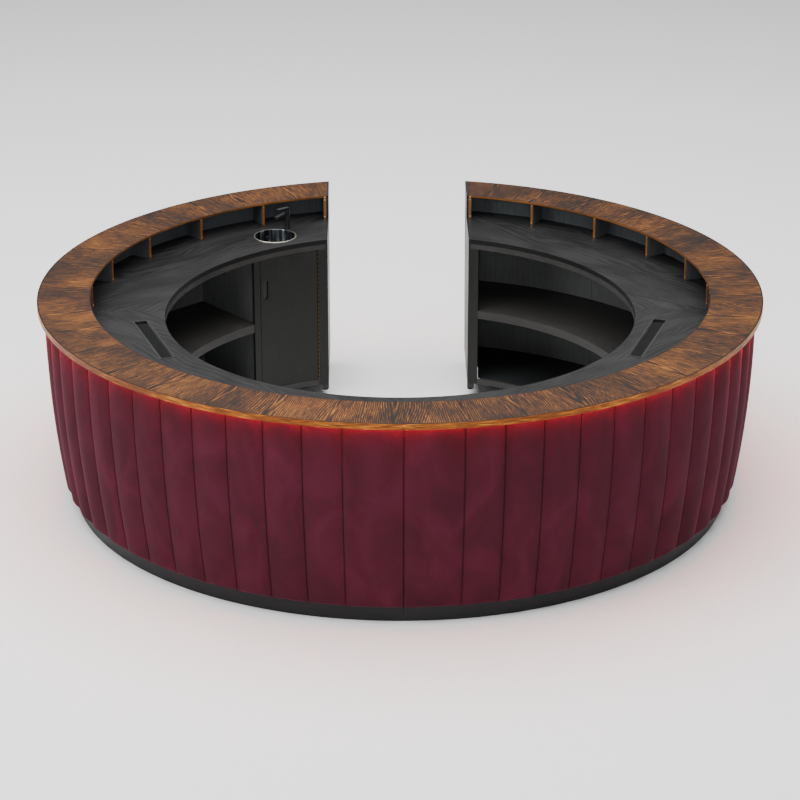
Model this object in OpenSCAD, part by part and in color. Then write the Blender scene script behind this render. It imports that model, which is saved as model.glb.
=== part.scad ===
// Round bar counter: a ring of four quarter modules with a staff entry at the back.
// +Z is up, +Y points from the ring's centre to the middle of the entry, and the
// origin is the ring's centre on the floor. Angles run anticlockwise from +X.
// Left and right are as seen by someone who stands in front and faces the entry.
// Each side is drawn once, on the right, and mirrored for the left.

/* [Ring] */
// Height of the bar top above the floor
bar_h = 1150; // [1100:10:1200]
// Outer radius of the bar top
bar_outer_r = 2000; // [1950:10:2100]
// Radial width of the bar top
bar_w = 290; // [280:5:300]
// Thickness of the bar top panel
bar_panel_t = 10; // [8:1:16]
// Height of the solid lipping round the bar top's outer edge
lipping_h = 32; // [28:1:40]
// How far the bar top overhangs the padded wall
overhang = 34; // [30:1:40]
// Clear width of the staff entry
entry_w = 846; // [820:2:900]

/* [Worktop] */
// Height of the staff worktop
worktop_h = 1010; // [990:5:1020]
// Thickness of the staff worktop
worktop_t = 28; // [25:1:30]
// Inner radius of the staff worktop
worktop_inner_r = 1305; // [1290:5:1320]
// Depth of the cubby shelf under the bar top
cubby_depth = 130; // [120:5:140]

/* [Padded wall] */
// Thickness of a padded channel
pad_t = 25; // [20:1:28]
// Radius of the wall's outward flare
flare_bend_r = 5800; // [5600:100:7000]
// Height at which the flare reaches the vertical
flare_top = 1045; // [1030:5:1060]
// Height of the padded wall's lower edge
wall_foot = 92; // [88:1:96]

/* [Storage] */
// Height of the mid shelf's top face
shelf_h = 560; // [500:10:640]
// Height of the front edge of the mid shelf
shelf_edge_h = 50; // [40:1:60]
// Height of the pull recess centre on the door
grip_h = 758; // [700:2:800]

/* [Sink and tap] */
// Radius of the sink's rim
sink_rim_r = 128; // [122:1:134]
// Depth of the sink bowl
sink_depth = 150; // [130:5:160]
// Height of the tap
tap_h = 132; // [128:1:136]
// Reach of the spout from the middle of the tap
spout_reach = 78; // [70:1:90]

/* [Drip trays] */
// Length of a drip tray
tray_l = 606; // [580:2:620]
// Width of a drip tray
tray_w = 86; // [80:1:90]

/* [Hidden] */
$fa = 1;
$fs = 1.5;
// Facets of a full turn of the ring, fine enough for its wide curves
ring_fn = 256;

// Boards and their clearances
board_t = 18;
end_t = 12;
fit = 0.3;
seam_trim = 0.03;
entry_x = entry_w / 2;

// Heights
top_under = bar_h - bar_panel_t;
worktop_under = worktop_h - worktop_t;
rail_bottom = worktop_h - 60;
base_top = 120;
base_under = base_top - board_t;
low_rail_bottom = 84;

// Radii
bar_inner_r = bar_outer_r - bar_w;
back_r = bar_inner_r + cubby_depth;
wall_top_r = bar_outer_r - overhang;
rail_r = worktop_inner_r + board_t;
back_t = 9;
skin_t = 6;
outer_lip_t = 8;
inner_lip_t = 4;
plinth_r = back_r - 5;

// Angles within a module, measured from its side seam
channel_step = 6;
end_channel = 9;
rib_step = 15;
divider_first = 2;
divider_step = 14.9;
front_divider_step = (90 - 2 * divider_first) / 6;

// The wall's outer face: vertical at the top and curved inwards towards the floor
flare_steps = 8;
function wall_r(z) = wall_top_r - (z < flare_top ? pow(flare_top - z, 2) / (2 * flare_bend_r) : 0);
function flare_z(i, z_lo) = z_lo + i * (flare_top - z_lo) / flare_steps;
function flare_line(inset, z_lo, z_hi) = concat(
    [for (i = [0:flare_steps]) [wall_r(flare_z(i, z_lo)) - inset, flare_z(i, z_lo)]],
    [[wall_top_r - inset, z_hi]]);
function reversed(line) = [for (i = [len(line) - 1:-1:0]) line[i]];

module mirrored() {
    mirror([1, 0, 0]) children();
}

module both_sides() {
    children();
    mirrored() children();
}

// A curved bar of rectangular section between two angles
module ring(r_in, r_out, z_lo, z_hi, a_lo, a_hi) {
    rotate([0, 0, a_lo]) rotate_extrude(angle = a_hi - a_lo, $fn = ring_fn)
        translate([r_in, z_lo]) square([r_out - r_in, z_hi - z_lo]);
}

// The whole right rear quarter up to the entry, less a stretch beside the entry
module rear_ring(r_in, r_out, z_lo, z_hi, entry_inset) {
    past_entry(entry_inset) ring(r_in, r_out, z_lo, z_hi, seam_trim, 90);
}

module front_ring(r_in, r_out, z_lo, z_hi) {
    ring(r_in, r_out, z_lo, z_hi, 270 + seam_trim, 360 - seam_trim);
}

module past_entry(inset) {
    difference() {
        children();
        translate([-50, 0, -50]) cube([50 + entry_x + inset, bar_outer_r + 100, bar_h + 100]);
    }
}

// A quarter turn of a profile, less a trim at each end
module quarter(trim) {
    rotate_extrude(angle = 90 - 2 * trim, $fn = ring_fn) children();
}

// A flat board that stands on edge and points at the ring's centre
module radial_board(angle, r_in, r_out, z_lo, z_hi, t_lo, t_hi) {
    rotate([0, 0, angle]) translate([r_in, t_lo, z_lo])
        cube([r_out - r_in, t_hi - t_lo, z_hi - z_lo]);
}

// Places children at a radius and an angle, with their own +X pointing outwards
module at_polar(angle, r, z) {
    rotate([0, 0, angle]) translate([r, 0, z]) children();
}

// ---------- Bar top ----------
module bar_top_front() {
    color("sienna") front_ring(bar_inner_r + inner_lip_t, bar_outer_r - outer_lip_t, top_under, bar_h);
}

module bar_top_rear() {
    color("sienna") difference() {
        rear_ring(bar_inner_r + inner_lip_t, bar_outer_r - outer_lip_t, top_under, bar_h, end_t);
        end_screw_hole();
    }
}

module bar_top_front_right() { bar_top_front(); }
module bar_top_front_left() { mirrored() bar_top_front(); }
module bar_top_rear_right() { bar_top_rear(); }
module bar_top_rear_left() { mirrored() bar_top_rear(); }

module bar_lipping() {
    outer_in = bar_outer_r - outer_lip_t;
    color("peru") both_sides() {
        front_ring(outer_in, bar_outer_r, bar_h - lipping_h, bar_h);
        front_ring(bar_inner_r, bar_inner_r + inner_lip_t, top_under, bar_h);
        rear_ring(outer_in, bar_outer_r, bar_h - lipping_h, bar_h, end_t);
        difference() {
            rear_ring(bar_inner_r, bar_inner_r + inner_lip_t, top_under, bar_h, end_t);
            end_screw_hole();
        }
    }
}

// ---------- Staff worktop ----------
worktop_outer_r = back_r - fit;
tray_angle = 341.4;
tray_r = 1412;
tray_tub_l = tray_l - 16;
tray_tub_w = tray_w - 16;
tray_depth = 22;
tray_wall = 1.5;

module tray_place() {
    at_polar(tray_angle, tray_r, worktop_h) children();
}

module worktop_front() {
    color("dimgray") difference() {
        front_ring(worktop_inner_r, worktop_outer_r, worktop_under, worktop_h);
        tray_place() cube([tray_tub_w + 2, tray_tub_l + 2, 4 * worktop_t], center = true);
    }
}

module worktop_rear() {
    rear_ring(worktop_inner_r, worktop_outer_r, worktop_under, worktop_h, end_t);
}

module worktop_front_right() { worktop_front(); }
module worktop_front_left() { mirrored() worktop_front(); }
module worktop_rear_right() { color("dimgray") worktop_rear(); }
module worktop_rear_left() {
    color("dimgray") mirrored() difference() {
        worktop_rear();
        sink_place() cylinder(r = sink_cutout_r, h = 4 * worktop_t, center = true);
        tap_place() cylinder(r = tap_shank_r + 1, h = 4 * worktop_t, center = true);
    }
}

// ---------- Padded wall ----------
// The joints between channels, measured from the side seam
front_joints = concat([0], [for (a = [end_channel:channel_step:90 - end_channel]) a], [90]);
rear_joints = concat([0], [for (a = [end_channel:channel_step:69]) a], [90]);
channel_trim = 0.015;
velvet_top = top_under - 4;

module channel(a_lo, a_hi) {
    rotate([0, 0, a_lo + channel_trim]) rotate_extrude(angle = a_hi - a_lo - 2 * channel_trim,
        $fn = ring_fn)
        polygon(concat(flare_line(0, wall_foot, velvet_top),
            reversed(flare_line(pad_t, wall_foot, velvet_top))));
}

module velvet_front() {
    color("maroon") for (i = [0:len(front_joints) - 2])
        rotate([0, 0, 270]) channel(front_joints[i], front_joints[i + 1]);
}

module velvet_rear() {
    color("maroon") past_entry(end_t) for (i = [0:len(rear_joints) - 2])
        channel(rear_joints[i], rear_joints[i + 1]);
}

module velvet_front_right() { velvet_front(); }
module velvet_front_left() { mirrored() velvet_front(); }
module velvet_rear_right() { velvet_rear(); }
module velvet_rear_left() { mirrored() velvet_rear(); }

module skin_profile() {
    polygon(concat(flare_line(pad_t + fit, wall_foot, top_under),
        reversed(flare_line(pad_t + fit + skin_t, wall_foot, top_under))));
}

module outer_skins() {
    color("burlywood") both_sides() {
        rotate([0, 0, 270 + seam_trim]) quarter(seam_trim) skin_profile();
        past_entry(end_t) rotate([0, 0, seam_trim]) quarter(0) skin_profile();
    }
}

module rib(angle) {
    rib_in = back_r + back_t + fit;
    outer_line = flare_line(pad_t + skin_t + 2 * fit, wall_foot, top_under);
    rotate([0, 0, angle]) translate([0, board_t / 2, 0]) rotate([90, 0, 0])
        linear_extrude(board_t)
            polygon(concat([[rib_in, top_under], [rib_in, wall_foot]], outer_line));
}

module wall_ribs() {
    seam_rib = 0.6;
    front_ribs = concat([seam_rib], [for (a = [rib_step:rib_step:90 - rib_step]) a], [90 - seam_rib]);
    rear_ribs = concat([seam_rib], [for (a = [rib_step:rib_step:60]) a], [74]);
    color("burlywood") both_sides() {
        for (a = front_ribs) rib(270 + a);
        for (a = rear_ribs) rib(a);
    }
}

// ---------- Carcass ----------
// Each back panel is in two leaves that meet in the middle of the module
back_joint = 50;

module back_leaf(a_lo, a_hi) {
    ring(back_r, back_r + back_t, wall_foot, top_under, a_lo + seam_trim, a_hi - seam_trim);
}

module back_panel_front() {
    color("black") {
        back_leaf(270, 360 - back_joint);
        back_leaf(360 - back_joint, 360);
    }
}

module back_panel_rear() {
    color("black") past_entry(end_t) {
        back_leaf(0, back_joint);
        back_leaf(back_joint, 90);
    }
}

module back_panel_front_right() { back_panel_front(); }
module back_panel_front_left() { mirrored() back_panel_front(); }
module back_panel_rear_right() { back_panel_rear(); }
module back_panel_rear_left() { mirrored() back_panel_rear(); }

module plinth_front_right() {
    color("black") front_ring(plinth_r - board_t, plinth_r, 0, base_under);
}

module plinth_front_left() { mirrored() plinth_front_right(); }

module plinth_rear_right() {
    color("black") rear_ring(plinth_r - board_t, plinth_r, 0, base_under, end_t);
}

module plinth_rear_left() { mirrored() plinth_rear_right(); }

module base_board_rear() {
    rear_ring(rail_r + fit, back_r - fit, base_under, base_top, end_t);
}

module base_boards() {
    color("black") {
        both_sides() front_ring(rail_r + fit, back_r - fit, base_under, base_top);
        base_board_rear();
        mirrored() difference() {
            base_board_rear();
            drain_place() cylinder(r = waste_r + 2, h = 400, center = true);
            tap_place() supply_spread()
                cylinder(r = hose_r + 1, h = 4 * worktop_h, center = true);
        }
    }
}

// Boards between base and worktop. A module ends in one on each side of a seam,
// and the two are bolted together.
board_in = rail_r + fit;
board_out = back_r - 0.5;
seam_clear = 1;
bolt_hole_r = 4.5;
bolt_radii = [1390, 1770];
bolt_heights = [260, 840];
stile_angle = 50;

module seam_board(angle, side) {
    t_lo = side > 0 ? seam_clear : -seam_clear - board_t;
    difference() {
        radial_board(angle, board_in, board_out, base_top, worktop_under, t_lo, t_lo + board_t);
        for (r = bolt_radii, z = bolt_heights)
            at_polar(angle, r, z) rotate([90, 0, 0]) cylinder(r = bolt_hole_r, h = 60, center = true);
    }
}

module middle_board(angle) {
    radial_board(angle, board_in, board_out, base_top, worktop_under, -board_t / 2, board_t / 2);
}

module carcass_partitions() {
    color("black") {
        both_sides() {
            seam_board(270, 1);
            seam_board(0, -1);
            seam_board(0, 1);
            middle_board(300);
            middle_board(330);
        }
        mirrored() middle_board(stile_angle);
    }
}

// Bolts that hold two modules together, each with its nut
module seam_bolt() {
    head_h = 5.3;
    nut_h = 6.5;
    hex_r = 7.5;
    bolt_r = 4;
    face = seam_clear + board_t;
    rotate([90, 0, 0]) {
        translate([0, 0, -face - nut_h - 3]) cylinder(r = bolt_r, h = 2 * face + nut_h + 4);
        translate([0, 0, face]) cylinder(r = hex_r, h = head_h, $fn = 6);
        difference() {
            translate([0, 0, -face - nut_h]) cylinder(r = hex_r, h = nut_h, $fn = 6);
            translate([0, 0, -face - nut_h - 1]) cylinder(r = bolt_r + 0.1, h = nut_h + 2);
        }
    }
}

module module_bolts() {
    color("silver") for (angle = [0, 180, 270], r = bolt_radii, z = bolt_heights)
        at_polar(angle, r, z) seam_bolt();
}

// Curved rails at the foot of the carcass and under the worktop's inner edge
module carcass_rails() {
    color("dimgray") both_sides() {
        front_ring(worktop_inner_r, rail_r, low_rail_bottom, base_top);
        front_ring(worktop_inner_r, rail_r, rail_bottom, worktop_under);
        ring(worktop_inner_r, rail_r, low_rail_bottom, base_top, seam_trim, stile_edge);
        rear_ring(worktop_inner_r, rail_r, rail_bottom, worktop_under, end_t);
    }
}

// Closed fronts on the staff side of the two front modules
module service_panels() {
    color("black") both_sides() front_ring(worktop_inner_r, rail_r, base_top, rail_bottom);
}

// The upright panel that closes a rear module at the entry, from its foot to the bar top.
// Its free edges follow the flare, the overhang and the step down to the worktop.
module end_panel_right() {
    lip = 2;
    color("dimgray") intersection() {
        quarter(0) polygon(concat(
            [[worktop_inner_r, low_rail_bottom]],
            [[wall_r(low_rail_bottom) - lip, low_rail_bottom]],
            flare_line(lip, wall_foot, bar_h - lipping_h),
            [[bar_outer_r, bar_h - lipping_h], [bar_outer_r, bar_h]],
            [[bar_inner_r, bar_h], [bar_inner_r, worktop_h]],
            [[worktop_inner_r, worktop_h]]));
        translate([entry_x, 0, 0]) cube([end_t, bar_outer_r, bar_h]);
    }
}

module end_panel_left() { mirrored() end_panel_right(); }

// The upright beside the end panel. Its free edge is radial and carries the door hinge.
stile_w = 48;
hinge_angle = acos((entry_x + end_t + stile_w) / worktop_inner_r);
hinge_gap = 0.055;
stile_edge = hinge_angle + hinge_gap;

module end_stile_right() {
    color("dimgray") past_entry(end_t)
        ring(worktop_inner_r, rail_r, low_rail_bottom, rail_bottom, stile_edge, 90);
}

module end_stile_left() { mirrored() end_stile_right(); }

// Blocks under the stiles. A levelling foot stands behind each one.
block_w = 42;
block_h = 32;
block_y = sqrt(pow(worktop_inner_r, 2) - pow(entry_x, 2));

module foot_blocks() {
    color("dimgray") both_sides() translate([entry_x, block_y, low_rail_bottom - block_h])
        cube([block_w, block_w, block_h]);
}

module levelling_feet() {
    foot_r = 1560;
    color("black") both_sides() {
        for (a = [276, 302, 328, 354, 6, 28, 50, 68]) at_polar(a, foot_r, 0) board_foot();
        translate([entry_x + block_w / 2, block_y + 120, 0]) {
            cylinder(r = 16, h = 8);
            cylinder(r = 6, h = base_under);
        }
    }
}

module board_foot() {
    cylinder(r = 34, h = 10);
    cylinder(r = 15, h = base_under);
    translate([0, 0, base_under - 6]) cylinder(r = 40, h = 6);
}

// A bright angle bracket in the lower corner of the right-hand open shelves
module corner_bracket() {
    bracket_h = 75;
    leaf_t = 2.5;
    leaf_w = 16;
    color("silver") at_polar(stile_edge, rail_r, base_top) {
        translate([-leaf_w, -leaf_t - 0.1, 0]) cube([leaf_w, leaf_t, bracket_h]);
        translate([-leaf_w, -leaf_w, 0]) cube([leaf_w, leaf_w - 0.1, leaf_t]);
    }
}

// Mid shelves with a deep curved front edge
module shelf_profile() {
    translate([worktop_inner_r, shelf_h - shelf_edge_h]) square([board_t, shelf_edge_h]);
    translate([worktop_inner_r, shelf_h - board_t]) square([back_r - fit - worktop_inner_r, board_t]);
}

module shelf_blank(a_lo, a_hi) {
    rotate([0, 0, a_lo]) rotate_extrude(angle = a_hi - a_lo, $fn = ring_fn) shelf_profile();
}

module mid_shelf_left() {
    color("dimgray") mirrored() difference() {
        shelf_blank(seam_trim, stile_angle);
        radial_board(0, board_in - 1, back_r, 0, bar_h, -5, seam_clear + board_t);
        radial_board(stile_angle, board_in - 1, back_r, 0, bar_h, -board_t / 2, 5);
        radial_board(stile_angle, 0, board_in, 0, bar_h, -stile_w / 2 - 2, 5);
    }
}

module mid_shelf_right() {
    color("dimgray") difference() {
        past_entry(end_t) shelf_blank(seam_trim, 90);
        radial_board(0, board_in - 1, back_r, 0, bar_h, -5, seam_clear + board_t);
        ring(worktop_inner_r - 1, rail_r + fit, 0, bar_h, stile_edge, 90);
    }
}

// ---------- Door ----------
door_edge = hinge_angle - hinge_gap;
door_free_edge = stile_angle + 1.15;
door_clear = 2;
door_z_lo = base_top + door_clear;
door_z_hi = rail_bottom - door_clear;
grip_angle = 52.85;
grip_w = 38;
grip_l = 126;
grip_depth = 12;
grip_wall = 2;

module door_stile() {
    color("dimgray") mirrored()
        ring(worktop_inner_r, rail_r, base_top, rail_bottom, stile_angle - 0.95, stile_angle + 1);
}

// An upright pill shape, drawn outwards from the front face of the door
module pill(w, l, depth) {
    rotate([0, 90, 0]) {
        for (end = [-1, 1]) translate([end * (l - w) / 2, 0, 0]) cylinder(r = w / 2, h = depth);
        translate([-(l - w) / 2, -w / 2, 0]) cube([l - w, w, depth]);
    }
}

module grip_place() {
    at_polar(grip_angle, worktop_inner_r, grip_h) children();
}

module door() {
    color("dimgray") mirrored() difference() {
        ring(worktop_inner_r, rail_r, door_z_lo, door_z_hi, door_free_edge, door_edge);
        grip_place() translate([-5, 0, 0]) pill(grip_w, grip_l, grip_depth + 5);
    }
}

module door_grip() {
    color("black") mirrored() grip_place() difference() {
        translate([0.3, 0, 0]) pill(grip_w - 0.4, grip_l - 0.4, grip_depth - 0.4);
        translate([-1, 0, 0])
            pill(grip_w - 2 * grip_wall, grip_l - 2 * grip_wall, grip_depth - grip_wall + 1);
    }
}

// Piano hinge: the pin stands just in front of the door's face
pin_r = 1.2;
pin_clear = 0.05;
knuckle_r = 3;
knuckle_count = 25;
knuckle_end = 0.2;
leaf_t = 1;
leaf_split = 0.15;
leaf_w = 19;
hinge_out = 3;
hinge_len = door_z_hi - door_z_lo;
knuckle_pitch = hinge_len / knuckle_count;

module hinge_place() {
    mirrored() at_polar(hinge_angle, worktop_inner_r - hinge_out, door_z_lo) children();
}

// One leaf: side is 1 for the frame's and -1 for the door's, and first is its first knuckle
module hinge_leaf(side, first) {
    plate_y = side > 0 ? leaf_split : -leaf_split - leaf_t;
    plate_start = knuckle_r + 0.4;
    difference() {
        union() {
            translate([plate_start, plate_y, 0]) cube([leaf_w - plate_start, leaf_t, hinge_len]);
            for (i = [first:2:knuckle_count - 1])
                translate([0, 0, i * knuckle_pitch + knuckle_end]) {
                    cylinder(r = knuckle_r, h = knuckle_pitch - 2 * knuckle_end);
                    translate([0, plate_y, 0])
                        cube([plate_start + 1, leaf_t, knuckle_pitch - 2 * knuckle_end]);
                }
        }
        translate([0, 0, -1]) cylinder(r = pin_r + pin_clear, h = hinge_len + 2);
    }
}

module hinge_leaf_frame() { color("goldenrod") hinge_place() hinge_leaf(1, 0); }
module hinge_leaf_door() { color("goldenrod") hinge_place() hinge_leaf(-1, 1); }
module hinge_pin() { color("gold") hinge_place() cylinder(r = pin_r, h = hinge_len); }

// ---------- Sink ----------
sink_angle = 60.45;
sink_r = 1497;
sink_cutout_r = sink_rim_r - 5.5;
bowl_r = sink_rim_r - 9;
bowl_t = 1.5;
bowl_corner = 24;
corner_steps = 6;
drain_r = 32;
sink_floor = worktop_h - sink_depth;
overflow_angle = 4;
overflow_z = worktop_h - 42;

module sink_place() {
    at_polar(sink_angle, sink_r, worktop_h) children();
}

// Half the section of a round-cornered bowl, from its rim down to its axis
function bowl_line(r, z_floor, corner) = concat([[r, worktop_h]],
    [for (i = [0:corner_steps]) let (a = i * 90 / corner_steps)
        [r - corner + corner * cos(a), z_floor + corner - corner * sin(a)]]);

module sink_section() {
    rim_h = 3;
    polygon(concat(bowl_line(bowl_r, sink_floor, bowl_corner),
        [[drain_r, sink_floor], [drain_r, sink_floor - bowl_t]],
        reversed(bowl_line(bowl_r + bowl_t, sink_floor - bowl_t, bowl_corner + bowl_t)),
        [[sink_rim_r, worktop_h], [sink_rim_r, worktop_h + rim_h - 1],
        [sink_rim_r - 1, worktop_h + rim_h], [bowl_r + 1, worktop_h + rim_h],
        [bowl_r, worktop_h + rim_h - 1]]));
}

module overflow_place() {
    at_polar(sink_angle, sink_r, 0) rotate([0, 0, overflow_angle])
        translate([bowl_r, 0, overflow_z]) rotate([0, 90, 0]) children();
}

module sink_bowl() {
    color("silver") mirrored() difference() {
        at_polar(sink_angle, sink_r, 0) rotate_extrude() sink_section();
        overflow_place() cylinder(r = 7, h = 20, center = true);
    }
}

waste_r = 20;
trap_offset = 100;
trap_z = 770;
pipe_end = 42;
collar_z = base_under - 10;

module drain_place() {
    at_polar(sink_angle, sink_r, 0) translate([trap_offset, 0, 0]) children();
}

// Waste flange with its strainer, and the overflow's cover on the bowl's wall
module sink_waste() {
    flange_r = 40;
    flange_t = 1.5;
    tail_r = 24;
    tail_len = 40;
    color("silver") mirrored() {
        sink_place() translate([0, 0, -sink_depth]) difference() {
            union() {
                cylinder(r = flange_r, h = flange_t);
                translate([0, 0, -tail_len]) cylinder(r = tail_r, h = tail_len);
            }
            for (a = [0:60:300]) rotate([0, 0, a]) translate([12, 0, -5]) cylinder(r = 3, h = 10);
            translate([0, 0, -tail_len - 1]) cylinder(r = tail_r - 2, h = tail_len - 1);
        }
        overflow_place() {
            translate([0, 0, -3]) cylinder(r = 11, h = 2.5);
            translate([0, 0, -1]) cylinder(r = 6, h = 12);
        }
    }
}

// Bottle trap and the pipe that runs out through the base board
module sink_trap() {
    cup_r = 36;
    cup_h = 90;
    cup_top = trap_z + 30;
    elbow_r = 40;
    inlet_top = sink_floor - 41;
    color("gainsboro") mirrored() sink_place() translate([0, 0, -worktop_h]) {
        translate([0, 0, cup_top - cup_h]) cylinder(r = cup_r, h = cup_h);
        cylinder_between(cup_top, inlet_top, waste_r - 2);
        translate([0, 0, trap_z]) rotate([0, 90, 0])
            cylinder(r = waste_r, h = trap_offset - elbow_r);
        translate([trap_offset - elbow_r, 0, trap_z - elbow_r]) rotate([90, 0, 0])
            rotate_extrude(angle = 90) translate([elbow_r, 0]) circle(r = waste_r);
        translate([trap_offset, 0, 0]) pipe_with_collar(trap_z - elbow_r, waste_r, 6);
    }
}

module cylinder_between(z_lo, z_hi, r) {
    translate([0, 0, z_lo]) cylinder(r = r, h = z_hi - z_lo);
}

// An upright pipe that stops above the floor, with a locking collar under the base board
module pipe_with_collar(z_hi, r, collar_t) {
    cylinder_between(pipe_end, z_hi, r);
    cylinder_between(collar_z, base_under - 0.5, r + collar_t);
}

// ---------- Tap ----------
tap_angle = 65.2;
tap_r = 1597;
tap_heading = 316.5;
tap_column_r = 17;
tap_shank_r = 10;
tap_shank_len = 70;
cartridge_z = tap_h - 18;
cartridge_h = 9;
tap_gap = 0.4;
lever_lift = 5;
lever_pivot_x = -12;
lever_pivot_z = cartridge_z + tap_gap + cartridge_h + 3.5;
hose_r = 5;

// Tap frame: base at the worktop's face, +X along the spout, once mirrored to the left
module tap_place() {
    at_polar(tap_angle, tap_r, worktop_h) rotate([0, 0, tap_heading - tap_angle]) children();
}

module tap_body() {
    spout_w = 26;
    outlet_r = 9;
    root_z = cartridge_z - 30;
    color("black") mirrored() tap_place() {
        cylinder(r = tap_column_r + 5, h = 5);
        cylinder(r = tap_column_r, h = cartridge_z);
        translate([0, 0, -tap_shank_len]) cylinder(r = tap_shank_r, h = tap_shank_len);
        translate([0, 0, -worktop_t - 6]) cylinder(r = tap_shank_r + 8, h = 6);
        translate([0, spout_w / 2, 0]) rotate([90, 0, 0]) linear_extrude(spout_w) polygon([
            [0, root_z], [0, root_z + 22], [spout_reach + 8, root_z + 8],
            [spout_reach + 12, root_z - 2], [spout_reach - 14, root_z - 6]]);
        translate([spout_reach, 0, root_z - 10]) cylinder(r = outlet_r, h = 12);
    }
}

// Turning cap with the pin that the lever tilts on
module tap_cartridge() {
    lug_w = 6;
    pin_len = 20;
    color("black") mirrored() tap_place() {
        translate([0, 0, cartridge_z + tap_gap]) cylinder(r = tap_column_r, h = cartridge_h);
        translate([lever_pivot_x - 2, -lug_w / 2, cartridge_z + cartridge_h])
            cube([5, lug_w, 5.5]);
        translate([lever_pivot_x, 0, lever_pivot_z]) rotate([90, 0, 0])
            cylinder(r = 1.2, h = pin_len, center = true);
    }
}

module tap_lever() {
    lever_w = 26;
    lever_l = 88;
    lever_t = 6;
    slot_w = 7;
    color("black") mirrored() tap_place() translate([lever_pivot_x, 0, lever_pivot_z])
        rotate([0, -lever_lift, 0]) difference() {
            translate([0, lever_w / 2, 0]) rotate([90, 0, 0]) linear_extrude(lever_w) polygon([
                [-2.5, 2.5], [-2.5, -2], [0, -2.4], [lever_l, -1], [lever_l, 1.5], [20, lever_t],
                [0, lever_t - 1]]);
            rotate([90, 0, 0]) cylinder(r = 1.25, h = lever_w + 2, center = true);
            translate([-5, -slot_w / 2, -lever_t]) cube([13, slot_w, 2.5 * lever_t]);
        }
}

module supply_spread() {
    for (side = [-1, 1]) translate([0, side * 14, 0]) children();
}

module supply_hoses() {
    nut_len = 22;
    top_z = worktop_h - tap_shank_len - 10;
    color("silver") mirrored() tap_place() translate([0, 0, -worktop_h]) {
        supply_spread() pipe_with_collar(top_z, hose_r, 4);
        supply_spread() translate([0, 0, top_z - nut_len]) cylinder(r = 8, h = nut_len, $fn = 6);
        translate([-8, -22, top_z]) cube([16, 44, 10]);
    }
}

// ---------- Drip trays ----------
finger_gap = 42;
grate_t = 6;
grate_clear = 1;
grate_l = tray_tub_l - 2 * tray_wall - finger_gap - grate_clear;
grate_w = tray_tub_w - 2 * tray_wall - 2 * grate_clear;
grate_top = -1;
grate_bottom = grate_top - grate_t;
bar_pitch = 10;
bar_t = 3;
rim_t = 4;

module drip_tray() {
    pad_l = 12;
    pad_h = tray_depth - tray_wall + grate_bottom;
    color("black") tray_place() {
        difference() {
            union() {
                translate([-tray_w / 2, -tray_l / 2, 0]) cube([tray_w, tray_l, tray_wall]);
                translate([-tray_tub_w / 2, -tray_tub_l / 2, -tray_depth])
                    cube([tray_tub_w, tray_tub_l, tray_depth]);
            }
            translate([-tray_tub_w / 2 + tray_wall, -tray_tub_l / 2 + tray_wall,
                -tray_depth + tray_wall])
                cube([tray_tub_w - 2 * tray_wall, tray_tub_l - 2 * tray_wall, 2 * tray_depth]);
        }
        for (y = [-tray_tub_l / 2 + 20, 0, grate_l - tray_tub_l / 2 - 20])
            translate([-tray_tub_w / 2 + 1, y, -tray_depth + 1]) cube([tray_tub_w - 2, pad_l, pad_h]);
    }
}

module grate_bars() {
    count = floor((grate_l - 2 * rim_t) / bar_pitch);
    first = (grate_l - (count - 1) * bar_pitch) / 2;
    for (i = [0:count - 1])
        translate([1, first + i * bar_pitch - bar_t / 2, 1]) cube([grate_w - 2, bar_t, grate_t - 2]);
}

module drip_grate() {
    color("dimgray") tray_place()
        translate([-grate_w / 2, -tray_tub_l / 2 + tray_wall + grate_clear, grate_bottom]) {
            difference() {
                cube([grate_w, grate_l, grate_t]);
                translate([rim_t, rim_t, -1])
                    cube([grate_w - 2 * rim_t, grate_l - 2 * rim_t, grate_t + 2]);
            }
            grate_bars();
        }
}

module drip_tray_right() { drip_tray(); }
module drip_tray_left() { mirrored() drip_tray(); }
module drip_grate_right() { drip_grate(); }
module drip_grate_left() { mirrored() drip_grate(); }

// ---------- Light under the overhang ----------
led_r = wall_top_r + 2.5;
led_w = 16;
led_h = 12;
led_wall = 1.5;
led_z = top_under - led_h;

module led_ring() {
    both_sides() {
        rotate([0, 0, 270 + seam_trim]) quarter(seam_trim) children();
        past_entry(end_t) rotate([0, 0, seam_trim]) quarter(0) children();
    }
}

module led_profile() {
    color("silver") led_ring() difference() {
        translate([led_r, led_z]) square([led_w, led_h]);
        translate([led_r + led_wall, led_z - 1]) square([led_w - 2 * led_wall, led_h - led_wall + 1]);
    }
}

module led_diffuser() {
    color("tomato") led_ring() translate([led_r + led_wall + 0.1, led_z])
        square([led_w - 2 * led_wall - 0.2, 2]);
}

// Power supply for the light strip, fixed to the back panel inside a front module
module led_driver() {
    driver = [38, 190, 62];
    ear = 12;
    color("white") at_polar(300 + 12, back_r - 5.5 - driver[0], 640) {
        translate([0, -driver[1] / 2, 0]) cube(driver);
        translate([driver[0] - 3, -driver[1] / 2 - ear, driver[2] / 2 - 10])
            cube([3, driver[1] + 2 * ear, 20]);
    }
}

// ---------- Cubby dividers ----------
// Each divider has a strip on its front edge. The last one stands against the end panel,
// and its strip runs on up in front of the bar top.
strip_t = 6;
strip_w = 15;
strip_in = bar_inner_r + 2;
front_dividers = [for (i = [0:6]) 270 + divider_first + i * front_divider_step];
rear_dividers = [for (i = [0:4]) divider_first + i * divider_step];
end_divider_x = entry_x + end_t + board_t / 2;
end_strip_y = sqrt(pow(bar_inner_r, 2) - pow(end_divider_x + board_t / 2, 2)) - strip_t;
end_back_y = sqrt(pow(back_r, 2) - pow(end_divider_x + board_t / 2, 2));
screw_r = 4.2;
screw_shank_r = 1.8;
screw_len = 24;
screw_inset = 12;

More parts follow.
